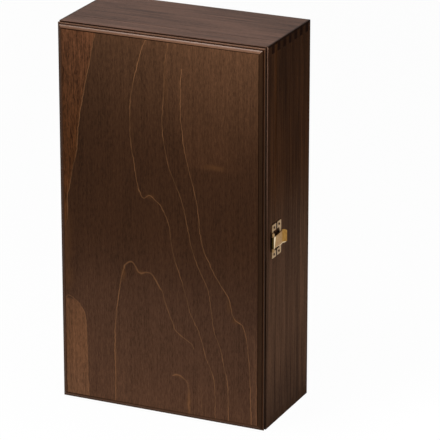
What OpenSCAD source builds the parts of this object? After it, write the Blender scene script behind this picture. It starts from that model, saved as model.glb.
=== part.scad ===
// Wooden wine box for two bottles, standing on one of its short ends.
// X runs across the width, with the clasp on +X and the hinges on -X.
// Y runs through the depth, from the lid's front at -Y to the back panel at +Y.
// Z is up. The origin is in the middle of the face that the box stands on.

/* [Box] */
// Outer width of the boards
box_w = 200; // [180:1:240]
// Outer depth, with the lid closed
box_d = 100; // [90:1:120]
// Outer height
box_h = 355; // [320:1:400]
// Depth of the lid, with its panel
lid_d = 26.2; // [24:0.1:34]
// Width of the saw cut between lid and box
seam_gap = 0.3; // [0.25:0.05:0.8]
// Rounding of the outer arrises
arris_r = 0.8; // [0.4:0.1:1.2]

/* [Boards] */
// Thickness of the side and end boards
board_t = 9; // [8:0.5:12]
// Thickness of the back panel
back_t = 4; // [3:0.5:5]
// Width of the rabbet that the back panel sits in
rabbet_w = 5; // [3:0.5:6]
// Thickness of the divider between the bottles
divider_t = 5; // [3:0.5:8]
// Depth of the grooves that hold the divider's ends
groove_depth = 3; // [1:0.5:5]
// How far the divider's front edge stays behind the box's rim
divider_drop = 1; // [0.5:0.5:10]

/* [Finger joints] */
// Width of one finger
finger_w = 6.1; // [5:0.1:8]
// Width of the first, wider finger behind the lid panel
first_finger_w = 10.8; // [8:0.1:13]
// Least wood left between the last finger and the back
last_land = 4; // [3:0.5:6]

/* [Lid panel] */
// Thickness of the panel
panel_t = 4.6; // [4.2:0.1:6]
// Set-back of the panel's edge from the outside of the box
panel_inset = 0.7; // [0:0.1:2]
// Width of the rounded part of the moulded edge
ovolo_w = 3.9; // [3:0.1:8]
// Depth of the rounded part of the moulded edge
ovolo_d = 2.6; // [2:0.1:3]
// Height of the small step between the flat face and the rounded part
quirk_d = 0.4; // [0.2:0.1:0.6]
// Width of the narrow flat outside the rounded part
fillet_w = 1; // [0.6:0.1:2]
// Width of the shadow groove between the panel and the frame's front edge
shadow_groove_w = 2.3; // [1:0.1:4]
// Depth of the shadow groove
shadow_groove_d = 1.5; // [0.8:0.1:3]

/* [Clasp] */
// Height of the clasp's middle above the base
clasp_z = 174.5; // [120:1:240]
// Height of the clasp's two plates
plate_h = 31; // [28:0.5:36]
// Width of each plate
plate_w = 9.1; // [8.8:0.1:11]
// Thickness of the plates
plate_t = 0.8; // [0.6:0.1:1]
// Gap between the two plates
plate_gap = 1.5; // [0.4:0.1:2.4]
// Height of the window that leaves room for the lever
window_h = 19; // [18:0.5:20]
// Width of the lid plate's strip beside its window
hinge_strip_w = 2.4; // [1.8:0.1:4]
// Width of the catch plate's strip behind its window
catch_strip_w = 4.2; // [4:0.1:4.8]
// Height of the catch lip above the board
lip_h = 2.1; // [1.6:0.1:2.2]
// Height of the lever at its hinge
lever_h = 10.6; // [8:0.1:11]
// Height of the lever at its tip
lever_tip_h = 12.4; // [11:0.1:14]
// Thickness of the lever
lever_t = 0.8; // [0.6:0.1:1]
// How far the lever's tip stands out from the board
tip_rise = 5.4; // [4:0.1:8]
// How far the lever's tip reaches past its dip behind the lip
tip_reach = 4.4; // [3:0.1:7]
// Outer radius of the clasp's knuckles
clasp_knuckle_r = 1.5; // [1.3:0.05:1.8]
// Height of each of the lid plate's knuckles
clasp_knuckle_h = 3; // [2:0.1:3.2]
// Diameter of the clasp's pin
clasp_pin_d = 1.2; // [0.8:0.1:1.4]

/* [Hinges] */
// Height of the lower hinge's middle above the base
lower_hinge_z = 65; // [40:1:100]
// Distance of the upper hinge's middle below the top
upper_hinge_drop = 65; // [40:1:100]
// Height of a hinge
hinge_h = 30; // [24:0.5:40]
// Width of one leaf, from the barrel's middle
leaf_w = 10.5; // [9:0.5:14]
// Thickness of a leaf
leaf_t = 1; // [0.8:0.1:1.2]
// Outer radius of the barrel
barrel_r = 2; // [1.8:0.1:2.6]
// Diameter of the hinge pin
hinge_pin_d = 1.8; // [1.2:0.1:2]
// Number of knuckles, an odd number
knuckle_n = 5; // [3:2:7]

/* [Nails] */
// Diameter of a nail's shank
nail_d = 1.2; // [0.8:0.1:1.6]
// Diameter of a nail's domed head
nail_head_d = 2.6; // [2.2:0.1:3.2]
// Height of a nail's domed head
nail_head_h = 0.7; // [0.4:0.1:0.9]
// Length of a nail below its head
nail_l = 7.5; // [5:0.5:8]

/* [Clearances] */
// Radial clearance of the pins in their knuckles
pin_fit = 0.05; // [0.02:0.01:0.1]
// Radial clearance of the nails in their holes
nail_fit = 0.05; // [0.02:0.01:0.2]
// Gap between metal parts that move past each other, or past wood
run_gap = 0.3; // [0.2:0.05:0.4]

/* [Hidden] */
$fn = 64;

wood_dark = "#4b2f20";
wood_red = "#5a3524";
wood_pale = "#8a6a48";
brass = "#c9a263";
brass_pale = "#cdb488";

// Depths are measured back from the lid's front face
front_y = -box_d / 2;
frame_d = box_d - panel_t;
body_start = lid_d + seam_gap;
seam_mid = lid_d + seam_gap / 2;
inner_w = box_w - 2 * board_t;
inner_h = box_h - 2 * board_t;
overcut = 1;

tab_pitch = 2 * finger_w;
first_tab = panel_t + first_finger_w;
tab_n = floor((box_d - first_tab - finger_w - last_land) / tab_pitch) + 1;

moulding_w = ovolo_w + fillet_w;
ovolo_r = (ovolo_w * ovolo_w + ovolo_d * ovolo_d) / (2 * ovolo_d);
panel_edge_r = 0.4;

plate_corner_r = 1;
clasp_plate_start = seam_mid - plate_gap / 2 - plate_w;
catch_plate_start = seam_mid + plate_gap / 2;
catch_plate_end = catch_plate_start + plate_w;
lip_back = catch_plate_end - catch_strip_w + plate_t;
clasp_pin_x = run_gap + clasp_knuckle_r;
clasp_pin_y = clasp_plate_start - 0.4 * clasp_knuckle_r;
nail_inset = (plate_h - window_h) / 4;

hinge_pin_x = run_gap + barrel_r;
knuckle_pitch = hinge_h / knuckle_n;
knuckle_h = knuckle_pitch - run_gap;
leaf_nail_y = (barrel_r + run_gap + leaf_w) / 2;
leaf_nail_z = hinge_h / 2 - nail_head_d / 2 - 2;

// Square with rounded corners, from its centre
module round_rect(w, h, r) {
    square([w - 2 * r, h], center = true);
    square([w, h - 2 * r], center = true);
    for (x = [-1, 1], y = [-1, 1])
        translate([x * (w / 2 - r), y * (h / 2 - r)]) circle(r);
}

// Frame of boards as one block with every outer arris rounded, and a neck under the panel
// that leaves the shadow groove
module frame_block() {
    rounded_d = frame_d - shadow_groove_w;
    rear_y = front_y + box_d;
    mid_y = rear_y - rounded_d / 2;
    intersection() {
        translate([0, mid_y, 0])
            linear_extrude(box_h) round_rect(box_w, rounded_d, arris_r);
        translate([0, rear_y, box_h / 2])
            rotate([90, 0, 0])
                linear_extrude(rounded_d) round_rect(box_w, box_h, arris_r);
        translate([-box_w / 2, mid_y, box_h / 2])
            rotate([90, 0, 90])
                linear_extrude(box_w) round_rect(rounded_d, box_h, arris_r);
    }
    translate([shadow_groove_d - box_w / 2, front_y + panel_t, shadow_groove_d])
        cube([box_w - 2 * shadow_groove_d, shadow_groove_w + overcut,
            box_h - 2 * shadow_groove_d]);
}

// Keeps the part of its children between two depths, as the saw leaves it
module between_depths(start, end) {
    intersection() {
        children();
        translate([-box_w, front_y + start, -overcut])
            cube([2 * box_w, end - start, box_h + 2 * overcut]);
    }
}

module lid_side_of_cut() {
    between_depths(panel_t, lid_d) children();
}

module box_side_of_cut() {
    between_depths(body_start, box_d) children();
}

// End board at full depth, with the finger-joint tabs at both ends
module end_board_blank(bottom_z) {
    translate([0, front_y, bottom_z])
        linear_extrude(board_t) {
            translate([-inner_w / 2, panel_t]) square([inner_w, frame_d]);
            for (k = [0:tab_n - 1])
                translate([-box_w / 2, first_tab + k * tab_pitch]) square([box_w, finger_w]);
        }
}

// Side board at full depth, cut to take the end boards' tabs
module side_board_blank(side) {
    difference() {
        translate([side * (box_w - board_t) / 2 - board_t / 2, front_y + panel_t, 0])
            cube([board_t, frame_d, box_h]);
        end_board_blank(0);
        end_board_blank(box_h - board_t);
    }
}

module back_panel_block() {
    panel_w = inner_w + 2 * rabbet_w;
    panel_h = inner_h + 2 * rabbet_w;
    translate([-panel_w / 2, front_y + box_d - back_t, (box_h - panel_h) / 2])
        cube([panel_w, back_t, panel_h]);
}

module divider_block() {
    start_y = front_y + body_start + divider_drop + divider_t / 2;
    bottom_z = board_t - groove_depth;
    height = inner_h + 2 * groove_depth;
    translate([0, start_y, bottom_z]) cylinder(h = height, d = divider_t);
    translate([-divider_t / 2, start_y, bottom_z])
        cube([divider_t, front_y + box_d - back_t - start_y, height]);
}

// Places children on the right side board, with x outwards and y as depth
module on_clasp() {
    translate([box_w / 2, front_y, clasp_z]) children();
}

// Places children on the left side board, with x outwards and y from the seam
module on_hinge(z) {
    translate([-box_w / 2, front_y + seam_mid, z]) mirror([1, 0, 0]) children();
}

module at_both_hinges() {
    on_hinge(lower_hinge_z) children();
    on_hinge(box_h - upper_hinge_drop) children();
}

// Nail with its head on the plane x = 0 and its shank going inwards
module nail() {
    head_r = nail_head_d / 2;
    dome_r = (head_r * head_r + nail_head_h * nail_head_h) / (2 * nail_head_h);
    rotate([0, 90, 0]) {
        translate([0, 0, -nail_l]) cylinder(h = nail_l + nail_head_h / 4, d = nail_d);
        intersection() {
            translate([0, 0, nail_head_h - dome_r]) sphere(dome_r);
            cylinder(h = nail_head_h, r = head_r);
        }
    }
}

module nail_hole() {
    rotate([0, 90, 0])
        translate([0, 0, -nail_l - nail_fit])
            cylinder(h = nail_l + overcut, d = nail_d + 2 * nail_fit);
}

// Places children at both nails of one clasp plate
module at_plate_nails(plate_start) {
    for (z = [-1, 1])
        translate([plate_t, plate_start + plate_w / 2, z * (plate_h / 2 - nail_inset)]) children();
}

// Places children at both nails of one hinge leaf, side 1 on the box, -1 on the lid
module at_leaf_nails(side) {
    for (z = [-1, 1])
        translate([leaf_t, side * leaf_nail_y, z * leaf_nail_z]) children();
}

// Flat clasp plate with its window open towards the seam
module clasp_plate_sheet(plate_start, window_start, window_w) {
    difference() {
        translate([0, plate_start + plate_w / 2, 0])
            rotate([90, 0, 90])
                linear_extrude(plate_t) round_rect(plate_w, plate_h, plate_corner_r);
        translate([-overcut, window_start, -window_h / 2])
            cube([plate_t + 2 * overcut, window_w, window_h]);
        at_plate_nails(plate_start) nail_hole();
    }
}

// Section of the lid panel across its moulded edges, with y as depth
module panel_section(half) {
    flat = half - moulding_w;
    back = quirk_d + ovolo_d;
    translate([-flat, 0]) square([2 * flat, panel_t]);
    translate([0, (back + panel_t) / 2])
        round_rect(2 * half, panel_t - back, panel_edge_r);
    for (side = [-1, 1])
        intersection() {
            translate([side * flat, quirk_d + ovolo_r]) circle(ovolo_r, $fn = 128);
            translate([side * (flat + ovolo_w / 2) - ovolo_w / 2, quirk_d])
                square([ovolo_w, ovolo_d]);
        }
}

// Points of a bend that rounds the corner at p between the points a and b
function bend(a, p, b, steps = 6) =
    [for (i = [0:steps]) let (t = i / steps)
        (1 - t) * (1 - t) * a + 2 * t * (1 - t) * p + t * t * b];

// Point at a distance from p towards q
function towards(p, q, distance) = p + (q - p) * distance / norm(q - p);

function round_corner(before, p, after, size) =
    bend(towards(p, before, size), p, towards(p, after, size));

function left_normal(a, b) = [a[1] - b[1], b[0] - a[0]] / norm(b - a);

// Normals at the points of a path, each the mean of its neighbours' normals
function path_normal(path, i) =
    let (n = len(path), a = path[max(i - 1, 0)], b = path[min(i + 1, n - 1)]) left_normal(a, b);

// Sheet-metal strip of even thickness along a path
module strip_section(path, thickness) {
    side = [for (i = [0:len(path) - 1]) path[i] + path_normal(path, i) * thickness / 2];
    other = [for (i = [len(path) - 1:-1:0]) path[i] - path_normal(path, i) * thickness / 2];
    polygon(concat(side, other));
}

// Middle line of the lever: flat arm, dip behind the catch lip, flared tip
arm_x = clasp_pin_x + clasp_knuckle_r - lever_t / 2;
dip_x = plate_t + run_gap + lever_t / 2;
arm_start = [arm_x, clasp_pin_y];
arm_end = [arm_x, lip_back + run_gap];
dip = [dip_x, arm_end[1] + 1.6];
tip = [tip_rise - lever_t / 2, dip[1] + tip_reach];
lever_path = concat([arm_start], round_corner(arm_start, arm_end, dip, 0.7),
    round_corner(arm_end, dip, tip, 0.9), [tip]);

// Outline of the lever as seen on the side board, with x as depth and y as height
module lever_outline() {
    tip_y = tip[1] + lever_t / 3;
    corner_r = lever_tip_h / 4;
    wide_y = clasp_pin_y + 2 * clasp_knuckle_r;
    polygon([[clasp_pin_y - clasp_knuckle_r, -lever_h / 2], [wide_y, -lever_h / 2],
        [dip[1], -lever_tip_h / 2], [tip_y - corner_r, -lever_tip_h / 2],
        [tip_y, corner_r - lever_tip_h / 2], [tip_y, lever_tip_h / 2 - corner_r],
        [tip_y - corner_r, lever_tip_h / 2], [dip[1], lever_tip_h / 2],
        [wide_y, lever_h / 2], [clasp_pin_y - clasp_knuckle_r, lever_h / 2]]);
    for (side = [-1, 1])
        translate([tip_y - corner_r, side * (lever_tip_h / 2 - corner_r)]) circle(corner_r);
}

module clasp_bore(height) {
    translate([clasp_pin_x, clasp_pin_y, -height / 2])
        cylinder(h = height, r = clasp_pin_d / 2 + pin_fit);
}

// One hinge leaf, side 1 on the box and -1 on the lid
module hinge_leaf(side) {
    parity = side > 0 ? 0 : 1;
    difference() {
        union() {
            difference() {
                translate([0, side > 0 ? seam_gap / 2 : -leaf_w, -hinge_h / 2])
                    cube([leaf_t, leaf_w - seam_gap / 2, hinge_h]);
                for (k = [0:knuckle_n - 1])
                    if (k % 2 != parity)
                        translate([-overcut, -barrel_r - run_gap,
                                k * knuckle_pitch - hinge_h / 2 - run_gap / 2])
                            cube([leaf_t + 2 * overcut, 2 * (barrel_r + run_gap),
                                knuckle_pitch + run_gap]);
            }
            for (k = [0:knuckle_n - 1])
                if (k % 2 == parity)
                    translate([hinge_pin_x, 0, k * knuckle_pitch - hinge_h / 2 + run_gap / 2])
                        cylinder(h = knuckle_h, r = barrel_r);
        }
        translate([hinge_pin_x, 0, -hinge_h])
            cylinder(h = 2 * hinge_h, r = hinge_pin_d / 2 + pin_fit);
        at_leaf_nails(side) nail_hole();
    }
}

// Pin with a domed head at each end of a barrel of the given height
module headed_pin(height, pin_r, head_r) {
    head_h = head_r / 2;
    dome_r = (head_r * head_r + head_h * head_h) / (2 * head_h);
    translate([0, 0, -height / 2 - head_h / 4]) cylinder(h = height + head_h / 2, r = pin_r);
    for (end = [0, 1])
        mirror([0, 0, end])
            translate([0, 0, height / 2])
                intersection() {
                    translate([0, 0, head_h - dome_r]) sphere(dome_r);
                    cylinder(h = head_h, r = head_r);
                }
}

module hinge_pin() {
    barrel_h = (knuckle_n - 1) * knuckle_pitch + knuckle_h;
    translate([hinge_pin_x, 0, 0]) headed_pin(barrel_h, hinge_pin_d / 2, barrel_r * 0.8);
}

module side_board_right() {
    color(wood_dark)
        difference() {
            box_side_of_cut() intersection() {
                frame_block();
                side_board_blank(1);
            }
            back_panel_block();
            on_clasp() at_plate_nails(catch_plate_start) nail_hole();
        }
}

module side_board_left() {
    color(wood_dark)
        difference() {
            box_side_of_cut() intersection() {
                frame_block();
                side_board_blank(-1);
            }
            back_panel_block();
            at_both_hinges() at_leaf_nails(1) nail_hole();
        }
}

module end_board(bottom_z) {
    difference() {
        box_side_of_cut() intersection() {
            frame_block();
            end_board_blank(bottom_z);
        }
        back_panel_block();
        divider_block();
    }
}

module end_board_top() {
    color(wood_red) end_board(box_h - board_t);
}

module end_board_bottom() {
    color(wood_red) end_board(0);
}

module back_panel() {
    color(wood_dark) back_panel_block();
}

module divider() {
    color(wood_pale) divider_block();
}

// Plate on the box with a lip that holds the lever
module catch_plate() {
    lip_start = catch_plate_end - catch_strip_w;
    color(brass_pale) on_clasp() {
        clasp_plate_sheet(catch_plate_start, catch_plate_start - overcut,
            lip_start - catch_plate_start + overcut);
        translate([0, lip_start, -lever_h / 2]) cube([lip_h, plate_t, lever_h]);
    }
}

module catch_plate_nails() {
    color(brass) on_clasp() at_plate_nails(catch_plate_start) nail();
}

module lid_panel() {
    color(wood_dark)
        translate([0, front_y, 0])
            intersection() {
                linear_extrude(box_h) panel_section(box_w / 2 - panel_inset);
                translate([box_w / 2, 0, box_h / 2])
                    rotate([0, -90, 0])
                        linear_extrude(box_w) panel_section(box_h / 2 - panel_inset);
            }
}

module lid_rail_right() {
    color(wood_dark)
        difference() {
            lid_side_of_cut() intersection() {
                frame_block();
                side_board_blank(1);
            }
            on_clasp() at_plate_nails(clasp_plate_start) nail_hole();
        }
}

module lid_rail_left() {
    color(wood_dark)
        difference() {
            lid_side_of_cut() intersection() {
                frame_block();
                side_board_blank(-1);
            }
            at_both_hinges() at_leaf_nails(-1) nail_hole();
        }
}

module lid_rail_end(bottom_z) {
    lid_side_of_cut() intersection() {
        frame_block();
        end_board_blank(bottom_z);
    }
}

module lid_rail_top() {
    color(wood_red) lid_rail_end(box_h - board_t);
}

module lid_rail_bottom() {
    color(wood_red) lid_rail_end(0);
}

// Plate on the lid with the two knuckles that carry the lever
module clasp_plate() {
    window_start = clasp_plate_start + hinge_strip_w;
    knuckle_start = lever_h / 2 + run_gap;
    color(brass_pale) on_clasp()
        difference() {
            union() {
                clasp_plate_sheet(clasp_plate_start, window_start,
                    plate_w - hinge_strip_w + overcut);
                for (end = [0, 1])
                    mirror([0, 0, end])
                        translate([clasp_pin_x, clasp_pin_y, knuckle_start])
                            cylinder(h = clasp_knuckle_h, r = clasp_knuckle_r);
            }
            clasp_bore(plate_h);
            translate([0, clasp_pin_y - clasp_knuckle_r, -knuckle_start])
                cube([lip_h, 2 * clasp_knuckle_r + run_gap, 2 * knuckle_start]);
        }
}

module clasp_plate_nails() {
    color(brass) on_clasp() at_plate_nails(clasp_plate_start) nail();
}

module clasp_pin() {
    barrel_h = lever_h + 2 * (run_gap + clasp_knuckle_h);
    color(brass) on_clasp()
        translate([clasp_pin_x, clasp_pin_y, 0])
            headed_pin(barrel_h, clasp_pin_d / 2, clasp_knuckle_r * 0.75);
}

module clasp_lever() {
    color(brass) on_clasp()
        difference() {
            union() {
                intersection() {
                    translate([0, 0, -lever_tip_h])
                        linear_extrude(2 * lever_tip_h) strip_section(lever_path, lever_t);
                    rotate([90, 0, 90]) linear_extrude(2 * tip_rise) lever_outline();
                }
                translate([clasp_pin_x, clasp_pin_y, -lever_h / 2])
                    cylinder(h = lever_h, r = clasp_knuckle_r);
            }
            clasp_bore(plate_h);
        }
}

module upper_hinge_box_leaf() {
    color(brass_pale) on_hinge(box_h - upper_hinge_drop) hinge_leaf(1);
}

module upper_hinge_lid_leaf() {
    color(brass_pale) on_hinge(box_h - upper_hinge_drop) hinge_leaf(-1);
}

module upper_hinge_pin() {
    color(brass) on_hinge(box_h - upper_hinge_drop) hinge_pin();
}

module upper_hinge_box_nails() {
    color(brass) on_hinge(box_h - upper_hinge_drop) at_leaf_nails(1) nail();
}

module upper_hinge_lid_nails() {
    color(brass) on_hinge(box_h - upper_hinge_drop) at_leaf_nails(-1) nail();
}

module lower_hinge_box_leaf() {
    color(brass_pale) on_hinge(lower_hinge_z) hinge_leaf(1);
}

module lower_hinge_lid_leaf() {
    color(brass_pale) on_hinge(lower_hinge_z) hinge_leaf(-1);
}

module lower_hinge_pin() {
    color(brass) on_hinge(lower_hinge_z) hinge_pin();
}

module lower_hinge_box_nails() {
    color(brass) on_hinge(lower_hinge_z) at_leaf_nails(1) nail();
}

module lower_hinge_lid_nails() {
    color(brass) on_hinge(lower_hinge_z) at_leaf_nails(-1) nail();
}

side_board_right();
side_board_left();
end_board_top();
end_board_bottom();
back_panel();
divider();
catch_plate();
catch_plate_nails();
upper_hinge_box_leaf();
upper_hinge_box_nails();
upper_hinge_pin();
lower_hinge_box_leaf();
lower_hinge_box_nails();
lower_hinge_pin();
lid_panel();
lid_rail_right();
lid_rail_left();
lid_rail_top();
lid_rail_bottom();
clasp_plate();
clasp_plate_nails();
clasp_pin();
clasp_lever();
upper_hinge_lid_leaf();
upper_hinge_lid_nails();
lower_hinge_lid_leaf();
lower_hinge_lid_nails();
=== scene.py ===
"""Looks of the wooden wine box: stained wood, veneered lid, brass fittings, light and camera."""
import math

import bpy
from mathutils import Matrix, Vector

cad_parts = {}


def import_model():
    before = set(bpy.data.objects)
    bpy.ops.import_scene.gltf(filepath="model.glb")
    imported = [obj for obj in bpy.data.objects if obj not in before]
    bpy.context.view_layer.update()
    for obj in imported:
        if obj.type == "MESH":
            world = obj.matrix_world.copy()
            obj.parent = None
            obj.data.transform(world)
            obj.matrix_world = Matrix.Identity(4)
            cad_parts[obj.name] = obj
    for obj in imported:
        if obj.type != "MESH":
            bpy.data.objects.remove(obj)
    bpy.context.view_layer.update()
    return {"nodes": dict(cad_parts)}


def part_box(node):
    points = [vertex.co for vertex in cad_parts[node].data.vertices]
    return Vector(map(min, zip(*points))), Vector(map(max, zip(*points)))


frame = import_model()
MM = 0.001

# The box's main sizes in millimetres, read from the frame. All materials work in
# millimetres in the row frame: x to the right, y to the back and z up.
TOP_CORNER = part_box("end_board_top")[1] / MM
HALF_WIDTH, HEIGHT = TOP_CORNER.x, TOP_CORNER.z


# ---------------------------------------------------------------- shader helpers

class Tree:
    """Short calls that add nodes to the tree of one material or world and link them."""

    def __init__(self, owner):
        owner.use_nodes = True
        self.tree = owner.node_tree
        self.tree.nodes.clear()

    def add(self, kind, **settings):
        node = self.tree.nodes.new(kind)
        for key, value in settings.items():
            setattr(node, key, value)
        return node

    def put(self, value, socket):
        """Link a socket's value to another socket, or set it to a number or colour."""
        if isinstance(value, bpy.types.NodeSocket):
            self.tree.links.new(value, socket)
        elif isinstance(value, tuple) and len(value) == 3 and socket.type == "RGBA":
            socket.default_value = (*value, 1)
        else:
            socket.default_value = value

    def math(self, operation, a, b=0.0, c=0.0):
        node = self.add("ShaderNodeMath", operation=operation)
        for value, socket in zip((a, b, c), node.inputs):
            self.put(value, socket)
        return node.outputs[0]

    def add_up(self, first, *others):
        total = first
        for other in others:
            total = self.math("ADD", total, other)
        return total

    def times(self, first, *others):
        product = first
        for other in others:
            product = self.math("MULTIPLY", product, other)
        return product

    def scale_add(self, value, factor, offset):
        """value times factor plus offset."""
        return self.math("MULTIPLY_ADD", value, factor, offset)

    def sway(self, noise, share):
        """Noise as a change of share in all, half of it below 0 and half above."""
        return self.scale_add(noise, share, -0.5 * share)

    def away(self, value, centre):
        return self.math("ABSOLUTE", self.math("SUBTRACT", value, centre))

    def step(self, value, none, full):
        """0 at none, 1 at full and smooth between; none may be above full."""
        node = self.add("ShaderNodeMapRange", interpolation_type="SMOOTHSTEP")
        for part, socket in zip((value, none, full, 0.0, 1.0), node.inputs[:5]):
            self.put(part, socket)
        return node.outputs[0]

    def mix(self, factor, a, b, blend="MIX"):
        node = self.add("ShaderNodeMix", data_type="RGBA", blend_type=blend)
        for value, index in ((factor, 0), (a, 6), (b, 7)):
            self.put(value, node.inputs[index])
        return node.outputs[2]

    def vector(self, x, y, z):
        node = self.add("ShaderNodeCombineXYZ")
        for value, socket in zip((x, y, z), node.inputs):
            self.put(value, socket)
        return node.outputs[0]

    def noise(self, point, detail=2.0, roughness=0.5):
        node = self.add("ShaderNodeTexNoise", noise_dimensions="3D")
        sockets = {"Vector": point, "Scale": 1.0, "Detail": detail, "Roughness": roughness}
        for name, value in sockets.items():
            self.put(value, node.inputs[name])
        return node.outputs["Fac"]

    def curve(self, points, value):
        """Smooth curve through points with both coordinates from 0 to 1."""
        node = self.add("ShaderNodeFloatCurve")
        line = node.mapping.curves[0]
        for _ in points[2:]:
            line.points.new(0.5, 0.5)
        for point, (x, y) in zip(line.points, points):
            point.location = (x, y)
            point.handle_type = "AUTO_CLAMPED"
        node.mapping.use_clip = False
        node.mapping.update()
        self.put(value, node.inputs["Value"])
        return node.outputs[0]

    def seen(self):
        """1 for the camera's own rays and for those of reflections, 0 for light."""
        path = self.add("ShaderNodeLightPath")
        return self.math("MAXIMUM", path.outputs["Is Camera Ray"], path.outputs["Is Glossy Ray"])

    def show(self, output_kind, factor, a, b):
        """Send a mix of two shader nodes to the output."""
        mix = self.add("ShaderNodeMixShader")
        for value, socket in zip((factor, a.outputs[0], b.outputs[0]), mix.inputs):
            self.put(value, socket)
        self.put(mix.outputs[0], self.add(output_kind).inputs["Surface"])


class Graph(Tree):
    """A material with one principled shader."""

    def __init__(self, name):
        self.material = bpy.data.materials.new(name)
        super().__init__(self.material)
        self.shader = self.add("ShaderNodeBsdfPrincipled")
        output = self.add("ShaderNodeOutputMaterial")
        self.put(self.shader.outputs[0], output.inputs["Surface"])

    def place(self):
        """Position in the row frame in millimetres, as x, y and z."""
        coordinates = self.add("ShaderNodeTexCoord")
        split = self.add("ShaderNodeSeparateXYZ")
        self.put(coordinates.outputs["Object"], split.inputs[0])
        return [self.times(axis, 1 / MM) for axis in split.outputs]

    def bump(self, height, distance):
        """Relief of a height from 0 to 1, with its depth in metres."""
        node = self.add("ShaderNodeBump")
        self.put(distance, node.inputs["Distance"])
        self.put(height, node.inputs["Height"])
        self.put(node.outputs[0], self.shader.inputs["Normal"])

    def finish(self, **sockets):
        for name, value in sockets.items():
            self.put(value, self.shader.inputs[name.replace("_", " ")])
        return self.material


# ---------------------------------------------------------------- wood

# Stain on the lid's field and on its warm wood, with painted light and shade: shaded across the
# middle, lit at the top and the foot
FIELD_MIDDLE_SHADED, FIELD_TOP_LIT = (0.0375, 0.0154, 0.0067), (0.0560, 0.0255, 0.0122)
FIELD_LOW_LIT = (0.0478, 0.0216, 0.0113)
WARM_MIDDLE_SHADED, WARM_TOP_LIT = (0.0630, 0.0225, 0.0074), (0.0800, 0.0315, 0.0140)
WARM_LOW_LIT, WARM_FOOT_LIT = (0.0930, 0.0405, 0.0185), (0.0760, 0.0345, 0.0170)
WARM_PATCH, LATEWOOD = (0.0900, 0.0370, 0.0130), (0.1750, 0.0800, 0.0340)
# Stain on the boards, the sides' with painted shade above and painted light below, and in pores;
# painted shade in recesses, also the dark of lines along arrises; a painted highlight on an arris
TOP_STAIN = (0.0620, 0.0325, 0.0225)
SIDE_UPPER_SHADED, SIDE_LOWER_LIT = (0.0480, 0.0185, 0.0070), (0.0570, 0.0285, 0.0160)
END_STAIN, FOOT_END_STAIN = (0.0140, 0.0052, 0.0024), (0.0320, 0.0160, 0.0090)
SHADE_AND_ARRIS_DARK, PORE = (0.0110, 0.0040, 0.0016), (0.0180, 0.0070, 0.0030)
ARRIS_HIGHLIGHT = (0.3000, 0.1700, 0.1150)
# Specular level of the front, top and side faces: an open-grained finish, almost matt
FACE_GLOSS, TOP_GLOSS, SIDE_GLOSS = 0.04, 0.05, 0.003
WOOD_ROUGHNESS, END_ROUGHNESS = 0.5, 0.6
# Depth of the grain's relief in metres
GRAIN_DEPTH, MOULDING_DEPTH = 0.00005, 0.00003


def scaled(colour, factor):
    return tuple(channel * factor for channel in colour)


def fibres(g, along, across, depth, seed):
    """Short fine streaks, long streaks, pores and clouds of a board, each from 0 to 1."""
    def field(per_mm_along, per_mm_across, shift, **settings):
        point = g.vector(g.scale_add(across, per_mm_across, seed + shift),
                         g.scale_add(depth, per_mm_across, shift),
                         g.times(along, per_mm_along))
        return g.noise(point, **settings)
    fine = field(0.27, 1.25, 0.0, detail=2.0, roughness=0.6)
    long = field(0.014, 0.75, 11.0, detail=3.0, roughness=0.6)
    pore = field(0.16, 2.4, 23.0, detail=1.0)
    cloud = field(0.010, 0.028, 37.0, detail=2.0)
    return fine, long, g.step(pore, 0.62, 0.72), cloud


def grain_change(g, fine, long, cloud, fine_share=1.0, long_share=1.0, cloud_share=1.0):
    """Change in the lightness of stained wood, around 0."""
    return g.add_up(g.sway(fine, fine_share), g.sway(long, long_share), g.sway(cloud, cloud_share))


def grain_bump(g, fine, pore):
    g.bump(g.math("SUBTRACT", g.times(fine, 0.5), g.times(pore, 0.6)), GRAIN_DEPTH)


def lit(g, colour, tone):
    """Colour times a tone, which stays linear."""
    return g.mix(1.0, colour, g.vector(tone, tone, tone), blend="MULTIPLY")


def side_colour(g, y, z):
    """The side boards' stain, darker along one streak, with painted shade, darker and redder,
    towards their top and at the foot, and painted light lower down.
    """
    # Painted shade towards the top and at the foot, painted light lower down
    colour = g.mix(g.step(z, 240, 165), SIDE_UPPER_SHADED, SIDE_LOWER_LIT)
    colour = g.mix(g.step(z, 70, 0), colour, scaled(SIDE_LOWER_LIT, 0.66))
    # The streak leans to the front as it rises
    streak_y, streak_lean = 20, 0.05
    from_streak = g.scale_add(z, streak_lean, g.math("SUBTRACT", y, streak_y))
    streak = g.step(g.math("ABSOLUTE", from_streak), 26, 6)
    bands = g.noise(g.vector(g.times(y, 0.17), 7.0, g.times(z, 0.004)))
    colour = lit(g, colour, g.add_up(1.0, g.times(streak, -0.22), g.sway(bands, 1.3)))
    # Painted shade beside the lid's front arris, darker just under the top, and a painted
    # highlight on the arris
    arris_y = -42.6
    upper = g.step(z, 150, 260)
    shade_beside_arris = g.times(g.step(y, -35, -40.5), upper, 0.52)
    under_top = g.times(g.step(z, HEIGHT - 2.7, HEIGHT - 1.5), 0.9)
    colour = g.mix(g.math("MAXIMUM", shade_beside_arris, under_top), colour, SHADE_AND_ARRIS_DARK)
    arris = g.step(g.away(y, arris_y), 0.6, 0.4)
    return g.mix(g.times(arris, upper, 0.42), colour, ARRIS_HIGHLIGHT)


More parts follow.
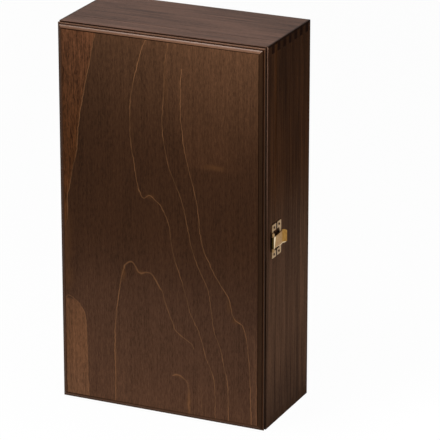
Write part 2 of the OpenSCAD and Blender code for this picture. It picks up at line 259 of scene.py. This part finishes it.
def board(name, grain, seed, gloss, shares=(1.0, 1.0, 1.0), groove_shade=False, colour=None):
    """Stained board face with its grain along "x" or "z".

    Where no colour is given, it has the side boards' stain with its painted light and shade. With
    groove_shade, the groove behind the lid panel gets painted shade.
    """
    g = Graph(name)
    x, y, z = g.place()
    colour = colour or side_colour(g, y, z)
    along, across = (z, x) if grain == "z" else (x, z)
    fine, long, pore, cloud = fibres(g, along, across, y, seed)
    paint = lit(g, colour, g.add_up(grain_change(g, fine, long, cloud, *shares), 1.0))
    paint = g.mix(g.times(pore, 0.45), paint, PORE)
    from_middle = g.math("ABSOLUTE", x)
    if grain == "x":
        # Darker along the top's side arrises
        arris = g.step(from_middle, HALF_WIDTH - 1.8, HALF_WIDTH - 1.1)
        paint = g.mix(g.times(arris, 0.9), paint, SHADE_AND_ARRIS_DARK)
    if groove_shade:
        # Painted shade in the groove behind the lid panel, apart from the boards' outer arrises
        inside = g.step(from_middle, HALF_WIDTH - 0.55, HALF_WIDTH - 0.9)
        groove = g.step(y, -42.9, -43.0)
        paint = g.mix(g.times(inside, groove), paint, SHADE_AND_ARRIS_DARK)
    grain_bump(g, fine, pore)
    return g.finish(Base_Color=paint, Roughness=WOOD_ROUGHNESS, Specular_IOR_Level=gloss)


def end_grain(name, seed, colour):
    """Dark end of a finger, where the wood has drunk more stain."""
    g = Graph(name)
    _, y, z = g.place()
    ring = g.noise(g.vector(seed, g.times(y, 1.6), g.times(z, 0.7)), detail=4.0, roughness=0.6)
    paint = g.mix(g.step(ring, 0.3, 0.75), scaled(colour, 0.75), scaled(colour, 1.4))
    g.bump(ring, GRAIN_DEPTH)
    return g.finish(Base_Color=paint, Roughness=END_ROUGHNESS, Specular_IOR_Level=SIDE_GLOSS)


def plywood():
    """The divider's bare plywood."""
    g = Graph("plain_plywood")
    x, y, z = g.place()
    fine, long, _, cloud = fibres(g, z, x, y, 9.0)
    paint = lit(g, (0.38, 0.235, 0.125),
                g.add_up(grain_change(g, fine, long, cloud, 0.5, 0.6, 0.6), 1.0))
    g.bump(fine, GRAIN_DEPTH)
    return g.finish(Base_Color=paint, Roughness=END_ROUGHNESS)


# ---------------------------------------------------------------- lid

# The lid's growth lines: name, the axis that the line runs along, its half width and
# strength, and its points (x, z) in millimetres from the middle of the base, with x to the
# right as the lid is seen
GROWTH_LINES = [
    ("left", "z", 0.6, 0.9, [
        (-98, 162), (-95, 168), (-94, 176), (-94, 189), (-91, 204), (-88, 220), (-84, 235),
        (-82, 258), (-78, 282), (-74, 302), (-70, 319), (-66, 339), (-61, 355)]),
    ("second top", "z", 0.6, 0.8, [
        (-23, 207), (-25, 216), (-28, 236), (-31, 262), (-31, 280), (-28, 304), (-23, 324),
        (-18, 341), (-10, 355)]),
    ("second knee", "x", 0.7, 0.9, [
        (-24, 210), (-22, 206), (-20, 202), (-18, 201), (-16, 202), (-14, 205), (-12, 205),
        (-9, 203), (-4, 199), (-1, 196), (2, 190)]),
    ("second foot", "z", 0.55, 0.65, [
        (51, 0), (50, 38), (41, 63), (35, 83), (27, 99), (22, 117), (17, 133), (11, 150),
        (8, 167), (6, 181), (2, 190), (1, 193)]),
    ("third", "z", 0.55, 0.7, [
        (64, 0), (63, 38), (59, 56), (56, 70), (50, 86), (47, 106), (44, 124), (36, 141),
        (29, 159), (25, 176), (20, 199), (13, 218), (6, 234), (2, 254), (0, 272), (2, 302),
        (3, 328), (8, 355)]),
    ("fourth", "z", 0.6, 0.9, [
        (86, 0), (85, 40), (83, 69), (80, 89), (77, 97), (71, 99), (67, 108), (64, 120),
        (56, 131), (44, 152), (38, 167), (34, 199), (30, 218), (25, 236), (21, 255),
        (18, 288), (18, 312), (19, 325)]),
    ("middle left", "z", 0.7, 0.9, [
        (-48, 0), (-48, 58), (-47, 83), (-44, 104), (-41, 123), (-39, 131), (-37, 136)]),
    ("middle top", "x", 1.1, 0.7, [
        (-39, 132), (-37, 136), (-34, 139), (-31, 140), (-29, 139), (-26, 134), (-24, 131),
        (-21, 130), (-17, 132), (-13, 132), (-9, 129), (-5, 123), (-1, 117)]),
    ("middle right", "z", 0.7, 0.55, [
        (30, 66), (19, 76), (13, 80), (9, 89), (6, 96), (3, 104), (1, 111), (-1, 117),
        (-4, 121)]),
    ("corner", "z", 0.7, 0.7, [
        (-75, 0), (-76, 44), (-77, 74), (-78, 82), (-80, 87), (-83, 92)]),
    ("corner top", "x", 0.8, 0.7, [(-98, 93), (-95, 98), (-91, 97), (-86, 94), (-82, 91)]),
    ("small", "z", 1.2, 0.5, [(25, 0), (25, 10), (25, 27), (24, 32)]),
    ("small top", "x", 1.2, 0.7, [(9, 37), (12, 39), (15, 39), (19, 37), (23, 34), (25, 31)]),
    ("short", "z", 0.6, 0.5, [(38, 0), (38, 26), (35, 32)]),
    ("edge", "z", 0.8, 0.35, [(91, 0), (91, 30), (90, 62)]),
]
# Soft warm patches beside the lines: centre x and z, half width, half height, strength
WARM_PATCHES = [
    (-39, 127, 4, 10, 0.9), (-22, 131, 7, 4, 0.6), (-12, 204, 7, 4, 0.7), (64, 112, 4, 9, 0.5),
    (71, 99, 6, 4, 0.7), (25, 14, 3, 15, 0.8), (14, 38, 6, 3, 0.5), (50, 239, 16, 4, 0.9),
    (-29, 260, 2, 30, 0.25), (4, 305, 2.5, 35, 0.3), (-47, 40, 2.5, 45, 0.3),
    (-101, 152, 16, 60, 1.0), (-101, 116, 18, 24, 0.8)]
# How far all lines and patches are moved, in x and z, and how strongly they waver
FIGURE_SHIFT = (2.6, 2.5)
FIGURE_WAVER = (2.2, 2.0)
# How far before and after a place a line's slope is taken, and the softness of its edges
SLOPE_REACH, LINE_CORE, LINE_END = 1.0, 0.1, 0.5


def line_place(g, points, along, shift, origin, span):
    """Where a growth line lies across its own axis, a little before or after along."""
    ordered = sorted(((run - origin[0]) / span[0], (rise - origin[1]) / span[1])
                     for run, rise in points)
    if ordered[0][0] > 0:
        ordered.insert(0, (0.0, ordered[0][1]))
    if ordered[-1][0] < 1:
        ordered.append((1.0, ordered[-1][1]))
    t = g.scale_add(along, 1 / span[0], (shift - origin[0]) / span[0])
    return g.scale_add(g.curve(ordered, t), span[1], origin[1])


def growth_line(g, axis, width, points, x, z):
    """How close a place is to a growth line, from 0 to 1, and how far past it."""
    origin, span = (-HALF_WIDTH, 0.0), (2 * HALF_WIDTH, HEIGHT)
    along, across = x, z
    if axis == "z":
        points = [point[::-1] for point in points]
        origin, span = origin[::-1], span[::-1]
        along, across = z, x
    above = line_place(g, points, along, SLOPE_REACH, origin, span)
    below = line_place(g, points, along, -SLOPE_REACH, origin, span)
    middle = g.times(g.add_up(above, below), 0.5)
    slope = g.times(g.math("SUBTRACT", above, below), 0.5 / SLOPE_REACH)
    stretch = g.math("SQRT", g.scale_add(slope, slope, 1.0))
    offset = g.math("DIVIDE", g.math("SUBTRACT", across, middle), stretch)
    low, high = sorted((points[0][0], points[-1][0]))
    near = g.times(g.step(g.math("ABSOLUTE", offset), width, LINE_CORE),
                   g.step(along, low - LINE_END, low + LINE_END),
                   g.step(along, high + LINE_END, high - LINE_END))
    return near, offset


def lid_figure(g, x, z):
    """Closeness to any growth line, the offset from each line, and warm patches."""
    def waver(value, shift, size, seed):
        bend = g.noise(g.vector(g.times(x, 0.06), seed, g.times(z, 0.18)), detail=3.0)
        bend = g.math("SUBTRACT", bend, 0.5)
        return g.scale_add(bend, size, g.math("ADD", value, -shift))
    x_bent = waver(x, FIGURE_SHIFT[0], FIGURE_WAVER[0], 0.0)
    z_bent = waver(z, FIGURE_SHIFT[1], FIGURE_WAVER[1], 9.0)
    near, patch, offsets = 0.0, 0.0, {}
    for name, axis, width, strength, points in GROWTH_LINES:
        closeness, offsets[name] = growth_line(g, axis, width, points, x_bent, z_bent)
        near = g.math("MAXIMUM", near, g.times(closeness, strength))
    for centre_x, centre_z, half_x, half_z, strength in WARM_PATCHES:
        away_x = g.scale_add(x_bent, 1 / half_x, -centre_x / half_x)
        away_z = g.scale_add(z_bent, 1 / half_z, -centre_z / half_z)
        away = g.math("SQRT", g.add_up(g.times(away_x, away_x), g.times(away_z, away_z)))
        patch = g.math("MAXIMUM", patch, g.times(g.step(away, 1.0, 0.0), strength))
    return near, offsets, patch, z_bent


def veneer():
    """The lid's stained veneer, with thin pale growth lines in a flame figure."""
    g = Graph("veneered_panel")
    x, y, z = g.place()
    near, offsets, patch, z_bent = lid_figure(g, x, z)

    def right_of(name, soft=0.8):
        return g.step(offsets[name], -soft, soft)

    def left_of(name, soft=0.8):
        return g.step(offsets[name], soft, -soft)

    fine, long, pore, cloud = fibres(g, z, x, y, 3.0)

    # Warm wood left of the first line and in the corner arch, with a stronger grain
    corner = g.times(left_of("corner", 0.6), left_of("corner top", 0.6), g.step(z, 99, 96))
    left = g.times(left_of("left", 0.6), g.step(z, 160, 172))
    warm = g.math("MAXIMUM", left, corner)
    grain = grain_change(g, fine, long, cloud, 1.5, 0.8, 0.35)
    stripes = g.noise(g.vector(g.times(x, 0.7), 4.0, g.times(z, 0.05)), detail=3.0, roughness=0.7)
    tone = g.add_up(g.scale_add(grain, g.scale_add(left, 0.5, 1.0), 1.0),
                    g.times(left, g.sway(stripes, 2.4)))

    # Lighter or darker between some lines, and painted light towards the sheet's top and foot
    zones = [
        (0.02, right_of("middle left"), left_of("middle right"), left_of("middle top"),
         g.step(z, 142, 138)),
        (0.24, right_of("fourth"), g.step(z_bent, 235, 237.5), g.step(z, 305, 245),
         g.step(x, 88, 55)),
        (0.24, right_of("fourth"), g.step(z, 104, 84)),
        (0.10, right_of("third"), g.step(z, 240, 320)),
        (0.11, g.step(x, -15, -60), g.step(z, 145, 100)),
        (-0.12, g.step(x, -45, -75), g.step(z, 235, 270), g.math("SUBTRACT", 1.0, left)),
        # Painted light towards the top and the foot
        (0.10, g.step(z, 332, 350)),
        (0.16, g.step(z, 45, 0)),
    ]
    tone = g.times(tone, g.add_up(1.0, *(g.times(*masks, share) for share, *masks in zones)))

    # Stain with painted shade across the middle and painted light towards the top and the foot
    paint = g.mix(warm, FIELD_MIDDLE_SHADED, WARM_MIDDLE_SHADED)
    paint = g.mix(g.step(z, 232, 355), paint, g.mix(warm, FIELD_TOP_LIT, WARM_TOP_LIT))
    warm_low_lit = g.mix(g.step(z, 60, 5), WARM_LOW_LIT, WARM_FOOT_LIT)
    paint = g.mix(g.step(z, 178, 95), paint, g.mix(warm, FIELD_LOW_LIT, warm_low_lit))
    paint = lit(g, paint, tone)
    paint = g.mix(g.times(pore, g.scale_add(left, -0.21, 0.25)), paint, PORE)
    paint = g.mix(g.times(patch, 0.6), paint, WARM_PATCH)

    # The growth lines themselves, fainter in places
    fading = g.noise(g.vector(g.times(x, 0.03), 5.0, g.times(z, 0.05)))
    faint = g.noise(g.vector(g.times(x, 0.02), 3.0, g.times(z, 0.05)))
    strength = g.times(near, g.scale_add(fading, 1.7, 0.15),
                       g.scale_add(g.step(faint, 0.35, 0.62), 0.45, 0.35))
    paint = g.mix(strength, paint, LATEWOOD)
    grain_bump(g, fine, pore)
    return g.finish(Base_Color=paint, Roughness=WOOD_ROUGHNESS, Specular_IOR_Level=FACE_GLOSS)


def moulding(name, gloss, roughness, colour):
    """Stained wood of the lid panel's moulded edge, in the given colour, which for the lit and
    shaded runs holds painted light and shade.
    """
    g = Graph(name)
    x, y, z = g.place()
    wood = g.noise(g.vector(g.times(x, 0.12), g.times(y, 1.2), g.times(z, 0.12)), detail=3.0)
    paint = lit(g, colour, g.scale_add(wood, 0.6, 0.7))
    g.bump(wood, MOULDING_DEPTH)
    return g.finish(Base_Color=paint, Roughness=roughness, Specular_IOR_Level=gloss)


# The moulding's width, that of its outer flat and of the quirk's painted shade beside the veneer,
# where the painted shade line beside the outer flat starts and ends, and the play in comparing
# places
MOULDING_WIDTH, FILLET_WIDTH, QUIRK_WIDTH = 4.9, 1.0, 0.45
SHADE_LINE = (1.02, 1.7)
SLACK = 0.05


def panel_face(normal, centre):
    """The lid panel's parts: its veneer, its moulding's runs with painted light and shade, and the
    painted shade lines there.
    """
    lowest, highest = (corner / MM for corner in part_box("lid_panel"))
    edge = min(highest.x - abs(centre.x), highest.z - centre.z, centre.z - lowest.z)
    faces_up = normal.z > SLACK
    if edge < 2 * SLACK:
        return MOULDING if normal.z > 0.5 else MOULDING_PAINTED_SHADE
    if edge > MOULDING_WIDTH + SLACK:
        return VENEER
    if edge > MOULDING_WIDTH - QUIRK_WIDTH or SHADE_LINE[0] < edge < SHADE_LINE[1]:
        return QUIRK_SHADE
    if faces_up or edge < FILLET_WIDTH and highest.z - centre.z < FILLET_WIDTH:
        return MOULDING_PAINTED_LIT
    on_right_run = centre.x > highest.x - 2 * MOULDING_WIDTH
    return MOULDING_PAINTED_SHADE if on_right_run and edge > FILLET_WIDTH else MOULDING


# ---------------------------------------------------------------- metal

# Painted highlight on the lever, and painted shade along the seam between the plates
BRASS_HIGHLIGHT, SEAM_SHADE = (0.8300, 0.6600, 0.4200), (0.0400, 0.0180, 0.0070)
# The seam between the clasp's plates, the lever's foot and the rear of its barrel
SEAM_Y = (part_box("clasp_plate")[1].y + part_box("catch_plate")[0].y) / 2 / MM
LEVER_FOOT_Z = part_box("clasp_lever")[0].z / MM
BARREL_REAR_Y = -32.3


def brass(name, base, dark, roughness, rim=None, seam=None):
    """Aged sheet brass, perhaps with a painted highlight along its foot or painted shade along a
    seam.
    """
    g = Graph(name)
    x, y, z = g.place()
    point = g.vector(g.times(x, 0.5), g.times(y, 0.5), g.times(z, 0.5))
    patch = g.noise(point, detail=4.0, roughness=0.6)
    marks = g.noise(g.vector(g.times(x, 6.0), g.times(y, 0.6), g.times(z, 6.0)), detail=3.0)
    colour = g.mix(g.step(patch, 0.35, 0.75), base, dark)
    if rim is not None:
        colour = g.mix(g.times(g.step(z, rim + 1.1, rim + 0.6), 0.8), colour, BRASS_HIGHLIGHT)
    if seam is not None:
        colour = g.mix(g.times(g.step(g.away(y, seam), 1.7, 1.3), 0.85), colour, SEAM_SHADE)
    rough = g.add_up(g.times(patch, 0.15), g.times(marks, 0.08), roughness)
    g.bump(g.add_up(g.times(patch, 0.7), g.times(marks, 0.3)), GRAIN_DEPTH)
    return g.finish(Base_Color=colour, Roughness=rough, Metallic=1.0)


def lever_face(normal, centre):
    """The lever's sheet, with painted shade on the front of its barrel and a painted highlight
    beside it.
    """
    if centre.y > BARREL_REAR_Y:
        return LEVER_BRASS
    if normal.y < -0.4:
        return BRASS_PAINTED_SHADE
    return BRASS_PAINTED_HIGHLIGHT if normal.y < 0.1 else LEVER_BRASS


# ---------------------------------------------------------------- dressing the nodes

def dress(choose, *nodes):
    """Give each polygon of the nodes the material that choose(normal, centre) returns."""
    for name in nodes:
        mesh = frame["nodes"][name].data
        mesh.materials.clear()
        slots = {}
        for polygon in mesh.polygons:
            material = choose(polygon.normal, polygon.center / MM)
            if material.name not in slots:
                slots[material.name] = len(mesh.materials)
                mesh.materials.append(material)
            polygon.material_index = slots[material.name]


def all_over(material):
    return lambda normal, centre: material


def by_side(up, side, front):
    """Choose by the axis that a polygon faces most."""
    def choose(normal, centre):
        size = [abs(component) for component in normal]
        return (side, front, up)[size.index(max(size))]
    return choose


TOP = board("top_board", "x", 5.0, TOP_GLOSS, (1.2, 2.8, 0.9), colour=TOP_STAIN)
SIDE = board("side_board", "z", 2.0, SIDE_GLOSS, (1.2, 2.8, 0.6))
EDGE = board("board_edge", "z", 8.0, FACE_GLOSS, groove_shade=True)
END_EDGE = board("end_board_edge", "x", 12.0, FACE_GLOSS, groove_shade=True)
ENDS = end_grain("finger_ends", 4.0, END_STAIN)
FOOT_ENDS = end_grain("finger_ends_foot", 6.0, FOOT_END_STAIN)
dress(by_side(TOP, SIDE, EDGE), "side_board_right", "lid_rail_right", "side_board_left",
      "lid_rail_left")
dress(by_side(TOP, ENDS, END_EDGE), "end_board_top", "lid_rail_top")
dress(by_side(TOP, FOOT_ENDS, END_EDGE), "end_board_bottom", "lid_rail_bottom")
dress(all_over(board("back_board", "z", 31.0, FACE_GLOSS)), "back_panel")
dress(all_over(plywood()), "divider")

VENEER = veneer()
# Painted light and shade on the moulding: a lit copy for the upper run, a shaded copy for the
# right run and painted shade in the quirks
MOULDING_PAINTED_LIT = moulding("moulding_painted_lit", 0.22, 0.34, (0.095, 0.045, 0.024))
MOULDING_PAINTED_SHADE = moulding("moulding_painted_shade", FACE_GLOSS, 0.5, (0.028, 0.0125, 0.0055))
MOULDING = moulding("moulding_plain", FACE_GLOSS, 0.5, (0.052, 0.023, 0.011))
QUIRK_SHADE = moulding("moulding_quirk_shade", 0.02, 0.6, scaled(SHADE_AND_ARRIS_DARK, 1.2))
dress(panel_face, "lid_panel")

SHEET_BRASS = brass("brass_sheet", (0.38, 0.24, 0.105), (0.28, 0.165, 0.065), 0.30)
PLATE_BRASS = brass("brass_plates", (0.39, 0.25, 0.115), (0.29, 0.170, 0.070), 0.30, seam=SEAM_Y)
LEVER_BRASS = brass("brass_lever", (0.36, 0.198, 0.052), (0.27, 0.135, 0.030), 0.28,
                    rim=LEVER_FOOT_Z)
# Painted highlight and painted shade on the lever's barrel
BRASS_PAINTED_HIGHLIGHT = brass("brass_painted_highlight", BRASS_HIGHLIGHT, scaled(BRASS_HIGHLIGHT, 0.9), 0.20)
BRASS_PAINTED_SHADE = brass("brass_painted_shade", (0.075, 0.050, 0.012), (0.045, 0.028, 0.008), 0.35)
NAIL_BRONZE = brass("bronze_nails", (0.050, 0.022, 0.009), (0.030, 0.012, 0.005), 0.40)
dress(all_over(PLATE_BRASS), "catch_plate", "clasp_plate")
dress(all_over(SHEET_BRASS), "upper_hinge_box_leaf", "lower_hinge_box_leaf",
      "upper_hinge_lid_leaf", "lower_hinge_lid_leaf", "clasp_pin",
      "upper_hinge_pin", "lower_hinge_pin")
dress(lever_face, "clasp_lever")
dress(all_over(NAIL_BRONZE), "catch_plate_nails", "clasp_plate_nails", "upper_hinge_box_nails",
      "lower_hinge_box_nails", "upper_hinge_lid_nails", "lower_hinge_lid_nails")

# Smooth shading on round parts, with crisp edges where faces meet at an angle
SMOOTH_ANGLE = math.radians(30)
for node_object in frame["nodes"].values():
    node_object.data.shade_smooth()
    node_object.data.set_sharp_from_angle(angle=SMOOTH_ANGLE)


# ---------------------------------------------------------------- floor, light, camera

WORLD_LIGHT = 0.15
# The floor's half size in metres, its colour for light, and how white the camera sees it
FLOOR_HALF_SIZE, FLOOR_GREY, FLOOR_WHITENESS = 6.0, (0.8, 0.8, 0.8), 0.97
# The softboxes: name, place, target and size in metres, power in watts, in reflections
SOFTBOXES = [
    ("overhead", (-0.15, -0.20, 0.85), (0, 0, 0.35), (0.4, 0.3), 4.6, True),
    ("lid_top", (0.10, -0.20, 0.42), (0.06, -0.05, 0.34), (0.3, 0.04), 0.50, False),
    ("lid_base", (0, -0.22, 0.015), (0, -0.05, 0.02), (0.25, 0.03), 0.28, False),
    ("right_low", (0.38, 0.02, 0.09), (0.1, 0, 0.09), (0.3, 0.10), 0.15, False),
    ("right_near", (0.30, 0.02, 0.08), (0.1, 0, 0.08), (0.15, 0.08), 0.26, False),
    ("back_left_fill", (-1.3, 0.9, 0.8), (0, 0, 0.15), (1.0, 1.0), 6, False),
]


def add_object(name, data):
    obj = bpy.data.objects.new(name, data)
    bpy.context.scene.collection.objects.link(obj)
    return obj


def floor():
    """White floor that keeps the box's soft shadow."""
    size = FLOOR_HALF_SIZE
    mesh = bpy.data.meshes.new("floor")
    corners = [(-size, -size, 0), (size, -size, 0), (size, size, 0), (-size, size, 0)]
    mesh.from_pydata(corners, [], [(0, 1, 2, 3)])
    obj = add_object("floor", mesh)
    material = bpy.data.materials.new("floor_white")
    g = Tree(material)
    diffuse = g.add("ShaderNodeBsdfDiffuse")
    g.put(FLOOR_GREY, diffuse.inputs["Color"])
    white = g.add("ShaderNodeEmission")
    g.show("ShaderNodeOutputMaterial", g.times(g.seen(), FLOOR_WHITENESS), diffuse, white)
    mesh.materials.append(material)


def world():
    """Soft grey light all round, seen as white by the camera and in reflections."""
    studio = bpy.data.worlds.new("studio")
    bpy.context.scene.world = studio
    g = Tree(studio)
    light = g.add("ShaderNodeBackground")
    g.put(WORLD_LIGHT, light.inputs["Strength"])
    white = g.add("ShaderNodeBackground")
    g.show("ShaderNodeOutputWorld", g.seen(), light, white)


def softbox(name, place, target, size, power, in_reflections):
    lamp = bpy.data.lights.new(name, "AREA")
    lamp.shape = "RECTANGLE"
    lamp.size, lamp.size_y = size
    lamp.energy = power
    obj = add_object(name, lamp)
    direction = Vector(target) - Vector(place)
    obj.location = place
    obj.rotation_euler = direction.to_track_quat("-Z", "Y").to_euler()
    obj.visible_camera = False
    obj.visible_glossy = in_reflections


def camera():
    """Seen from the right and above: the view and framing of the product picture."""
    azimuth = math.radians(24.57)
    pitch = math.radians(19.75)
    distance = 2.9
    aim_right, aim_up = 0.0322, -0.0076
    focal_pixels, image_pixels, sensor_mm = 3243, 440, 36
    right = Vector((math.cos(azimuth), math.sin(azimuth), 0))
    forward = Vector((-math.sin(azimuth) * math.cos(pitch), math.cos(azimuth) * math.cos(pitch),
                      -math.sin(pitch)))
    up = right.cross(forward)
    data = bpy.data.cameras.new("camera")
    data.sensor_width = sensor_mm
    data.lens = focal_pixels * sensor_mm / image_pixels
    obj = add_object("camera", data)
    middle = Vector((0, 0, HEIGHT * MM / 2))
    place = middle - forward * distance + right * aim_right + up * aim_up
    axes = Matrix((right, up, -forward)).transposed()
    obj.matrix_world = Matrix.Translation(place) @ axes.to_4x4()
    bpy.context.scene.camera = obj


floor()
world()
for settings in SOFTBOXES:
    softbox(*settings)
camera()
bpy.context.scene.view_settings.view_transform = "Standard"
